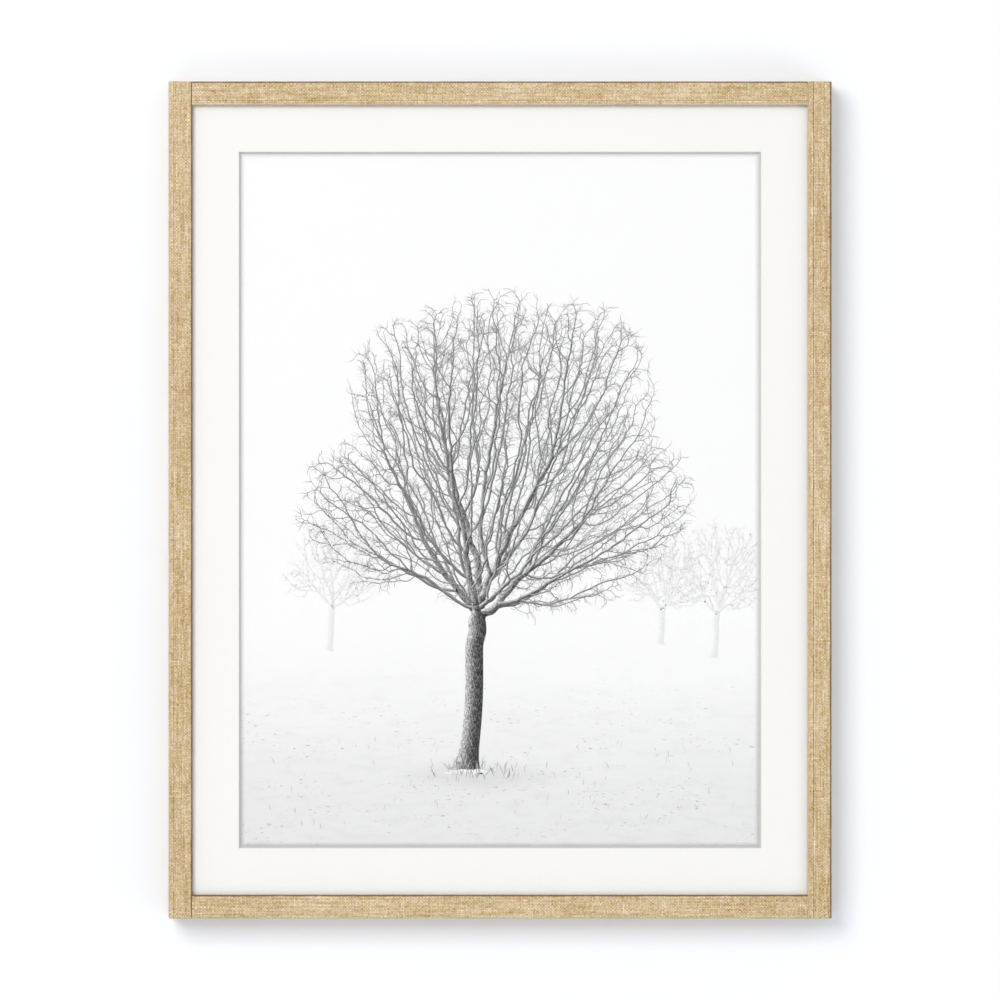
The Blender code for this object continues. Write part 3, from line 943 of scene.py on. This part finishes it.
def draw_banks(strokes, rng):
    """Low banks of snow that the tree's foot stands behind."""
    across = np.linspace(-1.0, 1.0, 15)
    for k in range(14):
        half = rng.uniform(0.004, 0.011)
        x = FOOT[0] + 0.002 + rng.normal(0.0, 0.006)
        z = FOOT[1] + rng.uniform(-0.0008, 0.0010)
        swell = rng.uniform(0.0008, 0.0017) * (1 - across**2) ** 0.7
        line = np.stack((x + half * across, z + 0.0004 * np.sin(3 * across + x * 900)), 1)
        strokes.add(line, swell + 0.00005, np.full(15, rng.uniform(0.05, 0.08)), np.full(15, 0.80 + 0.01 * k))


def draw_stalks(strokes, rng):
    """Dry stalks that stand out of the snow, most of them near the tree."""
    for k in range(150):
        near_tree = k < 60
        x = FOOT[0] + rng.normal(0.005, 0.020) if near_tree else rng.uniform(-0.205, 0.205)
        z = FOOT[1] + (rng.normal(-0.002, 0.004) if near_tree else rng.uniform(-0.052, 0.030))
        tall = rng.uniform(0.004, 0.013) * (1.0 if near_tree else 0.7)
        lean = rng.normal(0.0, 0.30)
        droop = lean + rng.normal(0.0, 0.5)
        middle = np.array((x + tall * 0.6 * math.sin(lean), z + tall * 0.6 * math.cos(lean)))
        end = middle + tall * 0.4 * np.array((math.sin(droop), math.cos(droop)))
        line = np.array(((x, z), middle, end))
        stout = rng.uniform(0.00018, 0.00034)
        tint = rng.uniform(0.35, 0.85) * (1.0 if near_tree else 0.6)
        radii = stout * np.array((1.0, 0.8, 0.3))
        shades = tint * np.array((0.5, 1.0, 0.8))
        strokes.add(line, radii, shades, np.full(3, 0.95 + 0.0003 * k))


def make_print():
    """The paper's picture, and the ink that draws the tree on it."""
    NODES["print"].data.materials[0] = paper_paint().material
    ink = ink_paint()
    far = Strokes()
    for place, height, seed in FAR_TREES:
        draw_tree(far, place, height, CROWN, 900, seed, 0.10, 0.00016, 0.9)
    far.make("ink_far_trees", ink)
    near = Strokes()
    draw_tree(near, FOOT, 0.430, CROWN, 7500, 5, 1.0)
    near.make("ink_tree", ink)
    ground = Strokes()
    rng = np.random.default_rng(8)
    draw_banks(ground, rng)
    draw_stalks(ground, rng)
    ground.make("ink_ground", ink)


# ---------------------------------------------------------------- wood, board, steel and rubber


def wood_paint(upright):
    """Sawn pine, with its grain along the rail."""
    paint = Paint("pine_upright" if upright else "pine_level", roughness=0.75)
    place = paint.place()
    rings = (160.0, 160.0, 5.0) if upright else (5.0, 160.0, 160.0)
    fibres = (2200.0, 2200.0, 40.0) if upright else (40.0, 2200.0, 2200.0)
    sawing = (30.0, 30.0, 700.0) if upright else (700.0, 30.0, 30.0)
    ring = paint.noise(paint.stretched(place, rings), 1.0, 3.0, 0.6)
    fibre = paint.noise(paint.stretched(place, fibres), 1.0, 2.0)
    saw = paint.noise(paint.stretched(place, sawing), 1.0, 1.0)
    colour = paint.mix(paint.between(ring, 0.40, 0.62), (0.66, 0.47, 0.27), (0.50, 0.31, 0.15))
    colour = paint.shade(colour, paint.between(fibre, 0.3, 0.7, 0.86, 1.08, smooth=False))
    colour = paint.shade(colour, paint.between(saw, 0.35, 0.65, 0.95, 1.03))
    paint.set("Base Color", colour)
    paint.set("Roughness", paint.between(fibre, 0.3, 0.7, 0.65, 0.88))
    paint.bump(paint.plus(fibre, paint.times(saw, 0.8)), 0.00010, 0.7)
    return paint


def board_paint():
    """Hardboard: pressed brown fibres, paler and darker flecks, and a faint mesh from the press."""
    paint = Paint("pressed_board", roughness=0.8)
    place = paint.place()
    flecks = paint.noise(place, 520.0, 3.0, 0.7)
    strands = paint.noise(paint.stretched(place, (900.0, 400.0, 150.0)), 1.0, 3.0, 0.6)
    cloud = paint.noise(place, 18.0, 3.0)
    colour = paint.mix(paint.between(cloud, 0.35, 0.65), (0.360, 0.242, 0.141), (0.385, 0.262, 0.155))
    colour = paint.mix(paint.between(flecks, 0.58, 0.70, 0.0, 0.6), colour, (0.55, 0.42, 0.28))
    colour = paint.mix(paint.between(strands, 0.42, 0.30, 0.0, 0.6), colour, (0.17, 0.10, 0.055))
    paint.set("Base Color", colour)
    x, _, z = paint.split(place)
    mesh_turn = 2 * math.pi / 0.0018
    mesh = paint.times(
        paint.math("SINE", paint.times(x, mesh_turn)),
        paint.math("SINE", paint.times(z, mesh_turn)),
    )
    paint.set("Roughness", paint.between(flecks, 0.3, 0.7, 0.70, 0.88))
    paint.bump(paint.plus(paint.times(mesh, 0.5), flecks), 0.00010, 0.6)
    return paint


def steel_paint():
    """Zinc-plated steel with fine scratches and duller patches."""
    paint = Paint("plated_steel", roughness=0.35, metallic=1.0)
    place = paint.place()
    patches = paint.noise(place, 260.0, 3.0, 0.6)
    scratches = paint.noise(paint.stretched(place, (300.0, 300.0, 5000.0)), 1.0, 2.0)
    colour = paint.mix(patches, (0.60, 0.60, 0.58), (0.74, 0.74, 0.73))
    paint.set("Base Color", paint.shade(colour, paint.between(scratches, 0.3, 0.7, 0.90, 1.05)))
    dull = paint.between(patches, 0.3, 0.7, 0.24, 0.44)
    paint.set("Roughness", paint.plus(dull, paint.times(scratches, 0.12)))
    paint.bump(scratches, 0.00001, 0.5)
    return paint


def rubber_paint():
    """Black rubber with a dusting of grey."""
    paint = Paint("bumper_rubber", roughness=0.7)
    place = paint.place()
    dust = paint.noise(place, 900.0, 3.0, 0.7)
    dusty = paint.between(dust, 0.45, 0.75)
    paint.set("Base Color", paint.mix(dusty, (0.022, 0.022, 0.023), (0.085, 0.082, 0.078)))
    paint.set("Roughness", paint.between(dust, 0.3, 0.7, 0.55, 0.85))
    paint.bump(dust, 0.00003, 0.6)
    return paint


def softened(node, width, paint):
    """A copy of a CAD node with its edges rounded off, which stands for it."""
    shape = bmesh.new()
    shape.from_mesh(NODES[node].data)
    bmesh.ops.remove_doubles(shape, verts=shape.verts, dist=1e-6)
    bmesh.ops.dissolve_limit(shape, angle_limit=math.radians(1), verts=shape.verts, edges=shape.edges)
    sharp = [edge for edge in shape.edges if edge.calc_face_angle(0.0) > math.radians(32)]
    bmesh.ops.bevel(
        shape, geom=sharp, offset=width, segments=2, profile=0.5, affect="EDGES", clamp_overlap=True
    )
    for face in shape.faces:
        face.smooth = True
    mesh = bpy.data.meshes.new(f"{node}_soft")
    shape.to_mesh(mesh)
    shape.free()
    mesh.materials.append(paint.material)
    piece = bpy.data.objects.new(f"{node}_soft", mesh)
    bpy.context.collection.objects.link(piece)
    piece.modifiers.new("even_normals", "WEIGHTED_NORMAL").keep_sharp = True
    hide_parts(node)
    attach(piece, "root")
    return piece


def finish_back():
    NODES["backing"].data.materials[0] = board_paint().material
    upright, level = wood_paint(True), wood_paint(False)
    for side, paint in (("left", upright), ("right", upright), ("top", level), ("bottom", level)):
        NODES[f"core_{side}"].data.materials[0] = paint.material
    steel, rubber = steel_paint(), rubber_paint()
    for node in NODES:
        if node.startswith("point_"):
            softened(node, 0.00012, steel)
        elif node.startswith("hanger"):
            softened(node, 0.00012, steel)
        elif node.startswith("bumper_"):
            softened(node, 0.00025, rubber)


# ---------------------------------------------------------------- the model


make_camera()
make_lights()
make_stage()
LINEN = linen_paint()
for order, rail_side in enumerate(("left", "right", "top", "bottom")):
    make_linen(rail_side, LINEN, 20 + order)
NODES["mat"].data.materials[0] = mat_paint().material
NODES["glazing"].data.materials[0] = glazing_paint().material
make_print()
finish_back()
